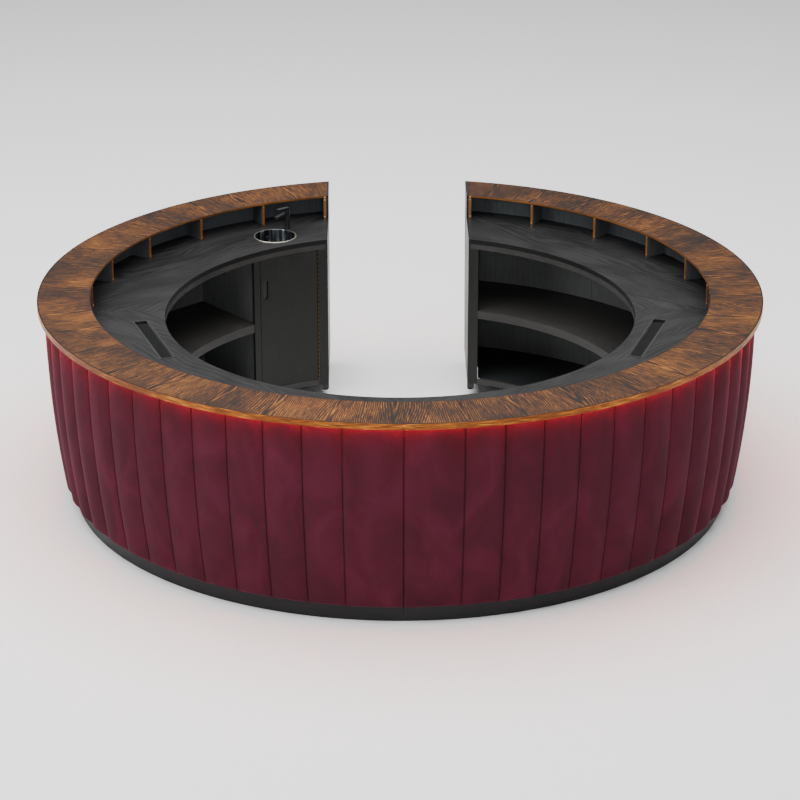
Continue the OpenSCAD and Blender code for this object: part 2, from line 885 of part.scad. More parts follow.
module at_dividers() {
    for (a = concat(front_dividers, rear_dividers)) at_polar(a, strip_in, 0) children();
}

module at_end_divider() {
    translate([end_divider_x, end_strip_y, 0]) rotate([0, 0, 90]) children();
}

module divider_board(depth) {
    translate([strip_t, -board_t / 2, worktop_h])
        cube([depth - strip_t - 0.5, board_t, top_under - worktop_h]);
}

module divider_strip(z_hi) {
    translate([0, -strip_w / 2, worktop_h]) cube([strip_t, strip_w, z_hi - worktop_h]);
}

// Places children along a screw's axis, with their +Z pointing into the strip
module screw_at(z) {
    translate([0, 0, z]) rotate([0, 90, 0]) children();
}

module at_screws() {
    for (z = [worktop_h + screw_inset, top_under - screw_inset]) {
        at_dividers() screw_at(z) children();
        at_end_divider() screw_at(z) children();
    }
    at_end_divider() screw_at(bar_h - bar_panel_t / 2) children();
}

module screw_hole() {
    cylinder(r = screw_shank_r + 0.1, h = 2 * screw_len, center = true);
}

module end_screw_hole() {
    at_end_divider() screw_at(bar_h - bar_panel_t / 2) screw_hole();
}

module cubby_dividers() {
    color("black") both_sides() difference() {
        union() {
            at_dividers() divider_board(back_r - strip_in);
            at_end_divider() divider_board(end_back_y - end_strip_y);
        }
        at_screws() screw_hole();
    }
}

module divider_strips() {
    color("peru") both_sides() difference() {
        union() {
            at_dividers() divider_strip(top_under);
            at_end_divider() divider_strip(bar_h);
        }
        at_screws() screw_hole();
    }
}

module divider_screws() {
    head_h = 2;
    color("gold") both_sides() at_screws() {
        translate([0, 0, -head_h]) cylinder(r = screw_r, h = head_h);
        cylinder(r = screw_shank_r, h = screw_len);
    }
}

bar_top_front_left();
bar_top_front_right();
bar_top_rear_left();
bar_top_rear_right();
bar_lipping();
worktop_front_left();
worktop_front_right();
worktop_rear_left();
worktop_rear_right();
velvet_front_left();
velvet_front_right();
velvet_rear_left();
velvet_rear_right();
outer_skins();
wall_ribs();
back_panel_front_left();
back_panel_front_right();
back_panel_rear_left();
back_panel_rear_right();
plinth_front_left();
plinth_front_right();
plinth_rear_left();
plinth_rear_right();
base_boards();
carcass_partitions();
carcass_rails();
service_panels();
end_panel_left();
end_panel_right();
end_stile_left();
end_stile_right();
foot_blocks();
levelling_feet();
module_bolts();
corner_bracket();
mid_shelf_left();
mid_shelf_right();
door_stile();
door();
door_grip();
hinge_leaf_frame();
hinge_leaf_door();
hinge_pin();
sink_bowl();
sink_waste();
sink_trap();
tap_body();
tap_cartridge();
tap_lever();
supply_hoses();
drip_tray_left();
drip_tray_right();
drip_grate_left();
drip_grate_right();
led_profile();
led_diffuser();
led_driver();
cubby_dividers();
divider_strips();
divider_screws();
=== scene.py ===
"""Looks of a round bar counter: velvet channels, veneers, metals, light strip and studio."""
import math

import bpy
import bmesh
import numpy as np
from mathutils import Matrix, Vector


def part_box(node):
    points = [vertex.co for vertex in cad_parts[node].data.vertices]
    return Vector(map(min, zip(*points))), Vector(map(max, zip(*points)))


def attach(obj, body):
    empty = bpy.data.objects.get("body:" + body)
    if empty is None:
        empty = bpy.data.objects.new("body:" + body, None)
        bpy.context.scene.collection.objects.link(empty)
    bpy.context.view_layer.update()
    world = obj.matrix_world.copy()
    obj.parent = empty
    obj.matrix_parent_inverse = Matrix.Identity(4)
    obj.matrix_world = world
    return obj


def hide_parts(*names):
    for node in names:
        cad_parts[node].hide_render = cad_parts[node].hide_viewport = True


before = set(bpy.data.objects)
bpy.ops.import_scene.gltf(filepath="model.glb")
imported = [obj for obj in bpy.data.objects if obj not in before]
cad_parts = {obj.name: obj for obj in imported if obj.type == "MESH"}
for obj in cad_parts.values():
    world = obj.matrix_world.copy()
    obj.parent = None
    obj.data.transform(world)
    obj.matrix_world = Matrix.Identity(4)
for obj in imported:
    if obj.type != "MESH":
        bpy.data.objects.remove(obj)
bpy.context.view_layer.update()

bl_info = {
    "name": "Round Bar Counter",
    "version": (1, 0, 0),
    "blender": (4, 5, 0),
    "location": "View3D > Sidebar > Counter",
    "description": "Upholstery, veneers, metals and light of a round bar counter",
    "category": "Object",
}

MM = 0.001
QUARTERS = ("front_left", "front_right", "rear_left", "rear_right")
# Distances round the ring are measured near the middle of the bar top's width
TOP_MIDDLE_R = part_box("bar_top_front_right")[1].x - 0.14
WORKTOP_LOW, WORKTOP_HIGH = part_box("worktop_front_right")


# ---------- Colours and nodes ----------
def linear(hex_colour):
    """An sRGB hex value such as "#a0522d" as linear red, green, blue and alpha."""
    parts = [int(hex_colour[i:i + 2], 16) / 255 for i in (1, 3, 5)]
    return [p / 12.92 if p <= 0.04045 else ((p + 0.055) / 1.055) ** 2.4 for p in parts] + [1.0]


def put(tree, kind, inputs=None, **settings):
    """Adds one node, sets its own settings, and fills or links its inputs by name or number."""
    made = tree.nodes.new("ShaderNode" + kind)
    for name, value in settings.items():
        setattr(made, name, value)
    for socket, value in (inputs or {}).items():
        if isinstance(value, bpy.types.NodeSocket):
            tree.links.new(value, made.inputs[socket])
        else:
            made.inputs[socket].default_value = value
    return made


def start_material(name):
    """An empty material with a Principled shader wired to its output."""
    made = bpy.data.materials.new(name)
    made.use_nodes = True
    tree = made.node_tree
    tree.nodes.clear()
    shader = put(tree, "BsdfPrincipled")
    put(tree, "OutputMaterial", {"Surface": shader.outputs[0]})
    return made, tree, shader


def shades(tree, factor, *stops):
    """A colour ramp through (position, hex colour) stops."""
    ramp = put(tree, "ValToRGB", {0: factor})
    elements = ramp.color_ramp.elements
    elements[0].position, elements[0].color = stops[0][0], linear(stops[0][1])
    elements[1].position, elements[1].color = stops[-1][0], linear(stops[-1][1])
    for position, colour in stops[1:-1]:
        elements.new(position).color = linear(colour)
    return ramp.outputs[0]


def calc(tree, operation, *values):
    """The result of one sum on numbers or sockets."""
    return put(tree, "Math", dict(enumerate(values)), operation=operation).outputs[0]


def blend_colours(tree, factor, low, high, blend_type="MIX"):
    """A mix of two colours, from low at 0 to high at 1."""
    mix = put(tree, "Mix", {0: factor, 6: low, 7: high}, data_type="RGBA", blend_type=blend_type)
    return mix.outputs[2]


def grain_noise(tree, at, scale, detail=4.0, roughness=0.55, distortion=0.0):
    """Cloudy noise from 0 to 1 at a place."""
    return put(tree, "TexNoise", {"Vector": at, "Scale": scale, "Detail": detail,
                                  "Roughness": roughness, "Distortion": distortion}).outputs[0]


def place_of(tree):
    """The x, y and z of the shaded point in the counter's frame, in metres."""
    return put(tree, "SeparateXYZ", {0: put(tree, "TexCoord").outputs["Object"]}).outputs


def round_the_ring(tree):
    """Distances round the ring, outwards from its centre, and up, in metres."""
    x, y, z = place_of(tree)
    around = calc(tree, "MULTIPLY", calc(tree, "ARCTAN2", y, x), TOP_MIDDLE_R)
    flat = put(tree, "CombineXYZ", {0: x, 1: y}).outputs[0]
    outwards = put(tree, "VectorMath", {0: flat}, operation="LENGTH").outputs["Value"]
    return around, outwards, z


def vector(tree, x, y, z=0.0):
    """A place made of three numbers or sockets."""
    return put(tree, "CombineXYZ", {0: x, 1: y, 2: z}).outputs[0]


def flat_sawn(tree, along, across, leaf, ring_gap, arch_gap, sway=0.4):
    """Growth rings of veneer leaves side by side: straight lines at a leaf's edges and arches in
    its middle. Sizes are in metres. Gives the rings from 0 to 1 and a number for each leaf."""
    count = calc(tree, "DIVIDE", across, leaf)
    number = calc(tree, "FLOOR", count)
    middle = calc(tree, "SUBTRACT", calc(tree, "SUBTRACT", count, number), 0.5)
    warp_at = vector(tree, calc(tree, "MULTIPLY", across, 3.6), calc(tree, "MULTIPLY", along, 1.6),
                     calc(tree, "MULTIPLY", number, 7.3))
    warp = calc(tree, "SUBTRACT", grain_noise(tree, warp_at, 1.0, 2.0, 0.4), 0.5)
    offset = calc(tree, "ADD", calc(tree, "MULTIPLY", middle, leaf),
                  calc(tree, "MULTIPLY", warp, leaf * sway))
    heart = 0.022
    spread = calc(tree, "SQRT", calc(tree, "ADD", calc(tree, "MULTIPLY", offset, offset), heart ** 2))
    line = calc(tree, "ADD", calc(tree, "DIVIDE", spread, ring_gap),
                calc(tree, "DIVIDE", along, arch_gap))
    line = calc(tree, "ADD", line, calc(tree, "MULTIPLY", warp, 2.0))
    wave = calc(tree, "SINE", calc(tree, "MULTIPLY", line, 2 * math.pi))
    rings = calc(tree, "ADD", calc(tree, "MULTIPLY", wave, 0.5), 0.5)
    return rings, number


def pores(tree, along, across, width, length):
    """Open pores: short dark streaks along the grain, of the given size in metres."""
    at = vector(tree, calc(tree, "DIVIDE", across, width), calc(tree, "DIVIDE", along, length))
    return grain_noise(tree, at, 1.0, 2.0, 0.6)


# ---------- Materials ----------
def stained_veneer():
    """Open-grain veneer, dark stained and oiled: golden summer wood shows between dark rings
    that run outwards from the ring's centre, leaf by leaf."""
    look = bpy.context.scene.counter_joinery
    made, tree, shader = start_material("oiled_dark_veneer")
    around, outwards, _ = round_the_ring(tree)
    rings, leaf_number = flat_sawn(tree, outwards, around, 0.31, 0.0105, 0.26, 0.6)
    streak_at = vector(tree, around, calc(tree, "MULTIPLY", outwards, 0.09), leaf_number)
    streaks = grain_noise(tree, streak_at, 85.0, 4.0, 0.7)
    broad = grain_noise(tree, vector(tree, around, calc(tree, "MULTIPLY", outwards, 0.6)), 3.1, 3.0)
    figure = calc(tree, "ADD", calc(tree, "MULTIPLY", rings, 0.26), calc(tree, "MULTIPLY", streaks, 0.74))
    figure = calc(tree, "ADD", figure, calc(tree, "MULTIPLY", calc(tree, "SUBTRACT", broad, 0.5), 0.5))
    colour = shades(tree, figure, (0.34, look.top_dark), (0.46, look.top_mid), (0.57, look.top_gold),
                    (0.72, look.top_bright))
    open_pores = pores(tree, outwards, around, 0.0022, 0.045)
    pore_shade = shades(tree, open_pores, (0.40, "#5a5250"), (0.56, "#ffffff"))
    colour = blend_colours(tree, 0.75, colour, pore_shade, "MULTIPLY")
    tree.links.new(colour, shader.inputs["Base Color"])
    gloss = put(tree, "MapRange", {0: open_pores, 3: 0.56, 4: 0.42}).outputs[0]
    tree.links.new(gloss, shader.inputs["Roughness"])
    bump = put(tree, "Bump", {"Height": open_pores, "Strength": 0.25, "Distance": 0.4 * MM})
    tree.links.new(bump.outputs[0], shader.inputs["Normal"])
    shader.inputs["Specular IOR Level"].default_value = 0.22
    return made


def edge_wood():
    """Solid orange-brown lipping, sawn along its length and oiled. Its tops are stained like the veneer
    beside them, so from above they are dark lines. Its inner band is darker, in the divider strips'
    painted-shade colours."""
    look = bpy.context.scene.counter_joinery
    made, tree, shader = start_material("oiled_hardwood_lipping")
    around, outwards, up = round_the_ring(tree)
    lines_at = vector(tree, calc(tree, "MULTIPLY", around, 0.05), outwards, up)
    lines = grain_noise(tree, lines_at, 210.0, 3.0, 0.6)
    patches = grain_noise(tree, vector(tree, around, up), 2.3, 2.0)
    figure = calc(tree, "ADD", calc(tree, "MULTIPLY", lines, 0.6), calc(tree, "MULTIPLY", patches, 0.4))
    side = shades(tree, figure, (0.43, look.lip_dark), (0.51, look.lip_mid), (0.60, look.lip_light))
    # The inner band takes the divider strips' darker colours, which are painted shade
    inner = shades(tree, figure, (0.36, look.inner_band_and_strip_shade), (0.66, look.strip))
    side = blend_colours(tree, calc(tree, "LESS_THAN", outwards, TOP_MIDDLE_R), side, inner)
    facing_up = put(tree, "SeparateXYZ", {0: put(tree, "NewGeometry").outputs["Normal"]}).outputs[2]
    top = shades(tree, lines, (0.35, look.top_dark), (0.65, look.top_mid))
    colour = blend_colours(tree, calc(tree, "GREATER_THAN", facing_up, 0.7), side, top)
    tree.links.new(colour, shader.inputs["Base Color"])
    shader.inputs["Roughness"].default_value = 0.42
    shader.inputs["Specular IOR Level"].default_value = 0.15
    soft_edge = put(tree, "Bevel", {"Radius": 1.5 * MM}, samples=4)
    bump = put(tree, "Bump", {"Height": lines, "Strength": 0.2, "Distance": 0.3 * MM,
                              "Normal": soft_edge.outputs[0]})
    tree.links.new(bump.outputs[0], shader.inputs["Normal"])
    return made


def quarter_grain(tree):
    """Distances along and across the straight grain of a sheet cut to a quarter ring."""
    x, y, _ = place_of(tree)
    wide, deep = calc(tree, "ABSOLUTE", x), calc(tree, "ABSOLUTE", y)
    half = math.sqrt(0.5)
    along = calc(tree, "MULTIPLY", calc(tree, "SUBTRACT", deep, wide), half)
    across = calc(tree, "MULTIPLY", calc(tree, "ADD", deep, wide), half)
    side = calc(tree, "MULTIPLY", calc(tree, "SIGN", x), 3.7)
    end = calc(tree, "MULTIPLY", calc(tree, "SIGN", y), 8.1)
    return along, calc(tree, "ADD", across, 0.09), calc(tree, "ADD", side, end)


def black_veneer():
    """Black stained ash veneer under satin lacquer: broad smoky rings, a soft grey sheen."""
    look = bpy.context.scene.counter_joinery
    made, tree, shader = start_material("black_stained_ash")
    along, across, quarter = quarter_grain(tree)
    moved = calc(tree, "ADD", along, quarter)
    rings, _ = flat_sawn(tree, moved, across, 0.46, 0.030, 0.50, 0.6)
    smoke = grain_noise(tree, vector(tree, calc(tree, "MULTIPLY", moved, 0.35), across, quarter),
                        6.0, 5.0, 0.6, 0.5)
    fine = pores(tree, moved, across, 0.0035, 0.09)
    figure = calc(tree, "ADD", calc(tree, "MULTIPLY", rings, 0.13), calc(tree, "MULTIPLY", smoke, 0.62))
    figure = calc(tree, "ADD", figure, calc(tree, "MULTIPLY", fine, 0.25))
    facing_up = put(tree, "SeparateXYZ", {0: put(tree, "NewGeometry").outputs["Normal"]}).outputs[2]
    figure = calc(tree, "MULTIPLY", figure, calc(tree, "GREATER_THAN", facing_up, 0.7))
    colour = shades(tree, figure, (0.36, look.worktop_dark), (0.62, look.worktop_light))
    tree.links.new(colour, shader.inputs["Base Color"])
    gloss = put(tree, "MapRange", {0: figure, 1: 0.3, 2: 0.7, 3: 0.46, 4: 0.36}).outputs[0]
    tree.links.new(gloss, shader.inputs["Roughness"])
    shader.inputs["Specular IOR Level"].default_value = 0.2
    soft_edge = put(tree, "Bevel", {"Radius": 1.5 * MM}, samples=4)
    bump = put(tree, "Bump", {"Height": fine, "Strength": 0.15, "Distance": 0.3 * MM,
                              "Normal": soft_edge.outputs[0]})
    tree.links.new(bump.outputs[0], shader.inputs["Normal"])
    return made


def lacquered_board(name, dark, light, roughness, grain_up=True, cupboard_fill_light=None):
    """Lacquered veneered board: a faint straight grain and a soft, slightly uneven gloss. Two colours
    given for the inside of the cupboards, below the worktop, paint it paler there: painted fill light."""
    made, tree, shader = start_material(name)
    around, outwards, up = round_the_ring(tree)
    run, cross = (up, around) if grain_up else (around, up)
    at = vector(tree, calc(tree, "MULTIPLY", run, 0.06), cross, calc(tree, "MULTIPLY", outwards, 0.8))
    grain = grain_noise(tree, at, 120.0, 4.0, 0.6)
    cloud = grain_noise(tree, vector(tree, around, outwards, up), 3.0, 3.0)
    figure = calc(tree, "ADD", calc(tree, "MULTIPLY", grain, 0.6), calc(tree, "MULTIPLY", cloud, 0.4))
    colour = shades(tree, figure, (0.35, dark), (0.65, light))
    if cupboard_fill_light:
        # Painted light: below the worktop, inside the cupboards, the board takes paler colours
        below = calc(tree, "LESS_THAN", up, WORKTOP_LOW.z)
        fill_lit = shades(tree, figure, (0.35, cupboard_fill_light[0]), (0.65, cupboard_fill_light[1]))
        colour = blend_colours(tree, below, colour, fill_lit)
    tree.links.new(colour, shader.inputs["Base Color"])
    gloss = put(tree, "MapRange", {0: cloud, 1: 0.3, 2: 0.7, 3: roughness - 0.06, 4: roughness + 0.06})
    tree.links.new(gloss.outputs[0], shader.inputs["Roughness"])
    shader.inputs["Specular IOR Level"].default_value = 0.2
    bump = put(tree, "Bump", {"Height": grain, "Strength": 0.12, "Distance": 0.3 * MM})
    tree.links.new(bump.outputs[0], shader.inputs["Normal"])
    return made


def pile_velvet():
    """Burgundy cut-pile velvet: dark head-on, with a rosy sheen where the pile is seen from the
    side, and soft brushed patches painted lighter and darker as painted light and shade on the
    pile. Its seams carry painted shade. The pile is drawn at 3 mm to show at all."""
    look = bpy.context.scene.counter_upholstery
    made, tree, shader = start_material("burgundy_velvet")
    around, outwards, up = round_the_ring(tree)
    at = vector(tree, around, calc(tree, "MULTIPLY", up, 0.55), outwards)
    brushed = grain_noise(tree, at, 5.5, 4.0, 0.55, 0.8)
    pile = grain_noise(tree, vector(tree, around, up, outwards), 330.0, 2.0)
    figure = calc(tree, "ADD", calc(tree, "MULTIPLY", brushed, 0.8), calc(tree, "MULTIPLY", pile, 0.2))
    # Painted light and shade: brushed patches are painted lighter and darker, as the pile would lean to
    # the light or away from it
    colour = shades(tree, figure, (0.34, look.velvet_shade), (0.5, look.velvet), (0.68, look.velvet_lit))
    # Painted shade: the pile is painted darker, with less sheen, where other surfaces lie close, as in the
    # seams
    seam_shade_mask = put(tree, "AmbientOcclusion", {"Distance": 30 * MM}, samples=8).outputs["AO"]
    seam_shade_mask = put(tree, "MapRange", {0: seam_shade_mask, 1: 0.35, 2: 0.85}).outputs[0]
    painted_seam_shade = shades(tree, seam_shade_mask, (0.0, "#3a3038"), (1.0, "#ffffff"))
    tree.links.new(blend_colours(tree, 1.0, colour, painted_seam_shade, "MULTIPLY"), shader.inputs["Base Color"])
    shader.inputs["Roughness"].default_value = 0.85
    shader.inputs["Specular IOR Level"].default_value = 0.15
    tree.links.new(calc(tree, "MULTIPLY", seam_shade_mask, 0.4), shader.inputs["Sheen Weight"])
    shader.inputs["Sheen Roughness"].default_value = 0.22
    shader.inputs["Sheen Tint"].default_value = linear(look.velvet_sheen)
    bump = put(tree, "Bump", {"Height": pile, "Strength": 0.3, "Distance": 0.5 * MM})
    tree.links.new(bump.outputs[0], shader.inputs["Normal"])
    return made


def divider_wood():
    """The same hardwood as the lipping, planed, with its grain upright, painted darker than the
    lipping as painted shade under the bar top.
    """
    look = bpy.context.scene.counter_joinery
    made, tree, shader = start_material("hardwood_strip_painted_shade")
    around, outwards, up = round_the_ring(tree)
    at = vector(tree, around, outwards, calc(tree, "MULTIPLY", up, 0.06))
    lines = grain_noise(tree, at, 260.0, 3.0, 0.6)
    # Painted shade: darker colours than the lipping's, for the shade under the bar top
    colour = shades(tree, lines, (0.36, look.inner_band_and_strip_shade), (0.66, look.strip))
    tree.links.new(colour, shader.inputs["Base Color"])
    gloss = put(tree, "MapRange", {0: lines, 1: 0.3, 2: 0.7, 3: 0.5, 4: 0.38}).outputs[0]
    tree.links.new(gloss, shader.inputs["Roughness"])
    return made


def drawn_steel():
    """Deep-drawn stainless bowl with a polished rim. Its satin wall is painted with tall bright and dark
    streaks, one under another all the way down: painted reflections and painted shade."""
    made, tree, shader = start_material("satin_stainless_bowl")
    low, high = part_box("sink_bowl")
    middle = (low + high) / 2
    x, y, z = place_of(tree)
    from_x, from_y = calc(tree, "SUBTRACT", x, middle.x), calc(tree, "SUBTRACT", y, middle.y)
    bearing = calc(tree, "ARCTAN2", from_y, from_x)
    round_bowl = vector(tree, calc(tree, "COSINE", bearing), calc(tree, "SINE", bearing),
                        calc(tree, "MULTIPLY", z, 0.6))
    streaks = grain_noise(tree, round_bowl, 5.0, 4.0, 0.7)
    # Painted reflection and shade: the wall's colour runs from near black to white in streaks round the
    # bowl
    wall = shades(tree, streaks, (0.38, "#2c2d30"), (0.50, "#606368"), (0.58, "#9a9ea4"),
                  (0.64, "#ffffff"))
    reach = put(tree, "VectorMath", {0: vector(tree, from_x, from_y)}, operation="LENGTH").outputs["Value"]
    rim_width = 5 * MM
    on_rim = calc(tree, "GREATER_THAN", reach, high.x - middle.x - rim_width)
    tree.links.new(blend_colours(tree, on_rim, wall, linear("#d9d2c4")), shader.inputs["Base Color"])
    shader.inputs["Metallic"].default_value = 1.0
    gloss = put(tree, "MapRange", {0: streaks, 1: 0.3, 2: 0.7, 3: 0.42, 4: 0.28}).outputs[0]
    tree.links.new(gloss, shader.inputs["Roughness"])
    return made


def knuckled_brass():
    """Piano hinge in satin brass: the knuckles of the two leaves take turns up the pin."""
    made, tree, shader = start_material("satin_brass_piano_hinge")
    up = place_of(tree)[2]
    knuckle = 27 * MM
    turn = calc(tree, "FRACT", calc(tree, "DIVIDE", up, knuckle))
    shadow = calc(tree, "LESS_THAN", turn, 0.34)
    colour = blend_colours(tree, shadow, linear("#63522f"), linear("#1e1810"))
    tree.links.new(colour, shader.inputs["Base Color"])
    shader.inputs["Metallic"].default_value = 1.0
    fine = grain_noise(tree, put(tree, "TexCoord").outputs["Object"], 400.0, 2.0)
    gloss = put(tree, "MapRange", {0: fine, 1: 0.3, 2: 0.7, 3: 0.28, 4: 0.42}).outputs[0]
    tree.links.new(gloss, shader.inputs["Roughness"])
    return made


def metal(name, colour, roughness, streak_gap=None):
    """A bare metal. A streak gap, in metres, adds the fine lines of brushing or turning."""
    made, tree, shader = start_material(name)
    shader.inputs["Metallic"].default_value = 1.0
    around, outwards, up = round_the_ring(tree)
    cloud = grain_noise(tree, vector(tree, around, outwards, up), 30.0, 3.0)
    spread = 0.06
    if streak_gap:
        lines = grain_noise(tree, vector(tree, around, outwards, up), 1 / streak_gap, 2.0)
        cloud = calc(tree, "ADD", calc(tree, "MULTIPLY", cloud, 0.4), calc(tree, "MULTIPLY", lines, 0.6))
        bump = put(tree, "Bump", {"Height": lines, "Strength": 0.1, "Distance": 0.1 * MM})
        tree.links.new(bump.outputs[0], shader.inputs["Normal"])
        spread = 0.12
    gloss = put(tree, "MapRange", {0: cloud, 1: 0.3, 2: 0.7, 3: roughness, 4: roughness + spread})
    tree.links.new(gloss.outputs[0], shader.inputs["Roughness"])
    shader.inputs["Base Color"].default_value = linear(colour)
    return made


def coated(name, colour, worn, roughness, speck):
    """A coat of powder or moulded plastic: an even colour with a fine orange-peel surface whose
    bumps are about speck metres apart."""
    made, tree, shader = start_material(name)
    at = put(tree, "TexCoord").outputs["Object"]
    peel = grain_noise(tree, at, 1 / speck, 2.0)
    cloud = grain_noise(tree, at, 9.0, 3.0)
    tree.links.new(shades(tree, cloud, (0.35, colour), (0.7, worn)), shader.inputs["Base Color"])
    gloss = put(tree, "MapRange", {0: peel, 1: 0.3, 2: 0.7, 3: roughness - 0.05, 4: roughness + 0.05})
    tree.links.new(gloss.outputs[0], shader.inputs["Roughness"])
    bump = put(tree, "Bump", {"Height": peel, "Strength": 0.2, "Distance": 0.1 * MM})
    tree.links.new(bump.outputs[0], shader.inputs["Normal"])
    return made


def birch_plywood():
    """Bare birch plywood: pale, with thin glue lines where its edges show."""
    made, tree, shader = start_material("birch_plywood")
    around, outwards, up = round_the_ring(tree)
    grain = grain_noise(tree, vector(tree, calc(tree, "MULTIPLY", up, 0.08), around, outwards), 140.0, 3.0)
    tree.links.new(shades(tree, grain, (0.3, "#b08f60"), (0.7, "#d8bd8e")), shader.inputs["Base Color"])
    shader.inputs["Roughness"].default_value = 0.6
    return made


def lit_diffuser():
    """Frosted acrylic over red light-emitting diodes: an even saturated glow, a little brighter
    over each diode."""
    look = bpy.context.scene.counter_light
    made, tree, shader = start_material("frosted_red_acrylic")
    around, _, _ = round_the_ring(tree)
    diode_gap = 1 / 60
    beat = calc(tree, "SINE", calc(tree, "MULTIPLY", around, 2 * math.pi / diode_gap))
    glow = put(tree, "MapRange", {0: beat, 1: -1.0, 2: 1.0, 3: look.strength * 0.85, 4: look.strength})
    shader.inputs["Base Color"].default_value = linear("#b03028")
    shader.inputs["Roughness"].default_value = 0.5
    shader.inputs["Emission Color"].default_value = linear(look.colour)
    tree.links.new(glow.outputs[0], shader.inputs["Emission Strength"])
    return made


def dress(names, made):
    """Gives CAD nodes a material in place of their plain ones."""
    for name in names:
        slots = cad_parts[name].material_slots
        if not slots:
            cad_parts[name].data.materials.append(made)
        for slot in slots:
            slot.material = made


def nodes_of(*starts):
    """The names of the CAD nodes that start with any of the given words."""
    return [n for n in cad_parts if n.startswith(starts)]


# ---------- Upholstery ----------
def solids_of(node):
    """The corner points of each separate solid in a CAD node."""
    work = bmesh.new()
    work.from_mesh(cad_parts[node].data)
    bmesh.ops.remove_doubles(work, verts=work.verts, dist=0.01 * MM)
    left = set(work.verts)
    found = []
    while left:
        group, edge = set(), [left.pop()]
        while edge:
            vert = edge.pop()
            group.add(vert)
            near = {e.other_vert(vert) for e in vert.link_edges} & left
            left -= near
            edge.extend(near)
        found.append(np.array([v.co for v in group]))
    work.free()
    return found


def wall_line(points):
    """Heights and outer radii of the padded wall, read from its solid."""
    heights = np.round(points[:, 2], 4)
    levels = np.unique(heights)
    radii = [np.hypot(points[heights == z, 0], points[heights == z, 1]).max() for z in levels]
    return levels, np.array(radii)


def inflated_swatch(width, length):
    """A strip of cloth cut fuller than the channel it covers, held along its edges and blown out
    by foam, as heights from 0 to 1 on a grid of rows up and columns across. The spare cloth
    settles into a crown, with soft tucks near both ends."""
    columns, rows = 25, 101
    crown = 16 * MM
    rng = np.random.default_rng(4)
    verts, faces, held_at = [], [], []
    for r in range(rows):
        for c in range(columns):
            share = 2 * c / (columns - 1) - 1
            edge = r in (0, rows - 1) or c in (0, columns - 1)
            out = 0.0 if edge else crown * (1 - share ** 2) * (1 + 0.04 * rng.random())
            if edge:
                held_at.append(len(verts))
            verts.append((width * c / (columns - 1), -out, length * r / (rows - 1)))
    for r in range(rows - 1):
        for c in range(columns - 1):
            first = r * columns + c
            faces.append((first, first + 1, first + columns + 1, first + columns))
    mesh = bpy.data.meshes.new("swatch")
    mesh.from_pydata(verts, [], faces)
    cloth = bpy.data.objects.new("swatch", mesh)
    bpy.context.collection.objects.link(cloth)
    cloth.vertex_groups.new(name="held").add(held_at, 1.0, "REPLACE")
    settings = cloth.modifiers.new("cloth", "CLOTH").settings
    settings.quality = 6
    settings.mass = 0.35
    settings.tension_stiffness = 25
    settings.compression_stiffness = 25
    settings.bending_stiffness = 4
    settings.vertex_group_mass = "held"
    settings.use_pressure = True
    settings.uniform_pressure_force = 3.0
    settings.effector_weights.gravity = 0.0
    scene = bpy.context.scene
    for step in range(1, 26):
        scene.frame_set(step)
    solved = cloth.evaluated_get(bpy.context.evaluated_depsgraph_get()).to_mesh()
    heights = np.array([-v.co.y for v in solved.vertices]).reshape(rows, columns)
    scene.frame_set(1)
    bpy.data.objects.remove(cloth)
    bpy.data.meshes.remove(mesh)
    return np.clip(heights / np.percentile(heights, 98), 0.0, 1.08)


def sample(grid, u, v):
    """Reads a grid of heights at shares u across and v up."""
    rows, columns = grid.shape
    x, y = u * (columns - 1), np.clip(v, 0, 1) * (rows - 1)
    c, r = min(int(x), columns - 2), min(int(y), rows - 2)
    fx, fy = x - c, y - r
    low = grid[r, c] * (1 - fx) + grid[r, c + 1] * fx
    high = grid[r + 1, c] * (1 - fx) + grid[r + 1, c + 1] * fx
    return low * (1 - fy) + high * fy


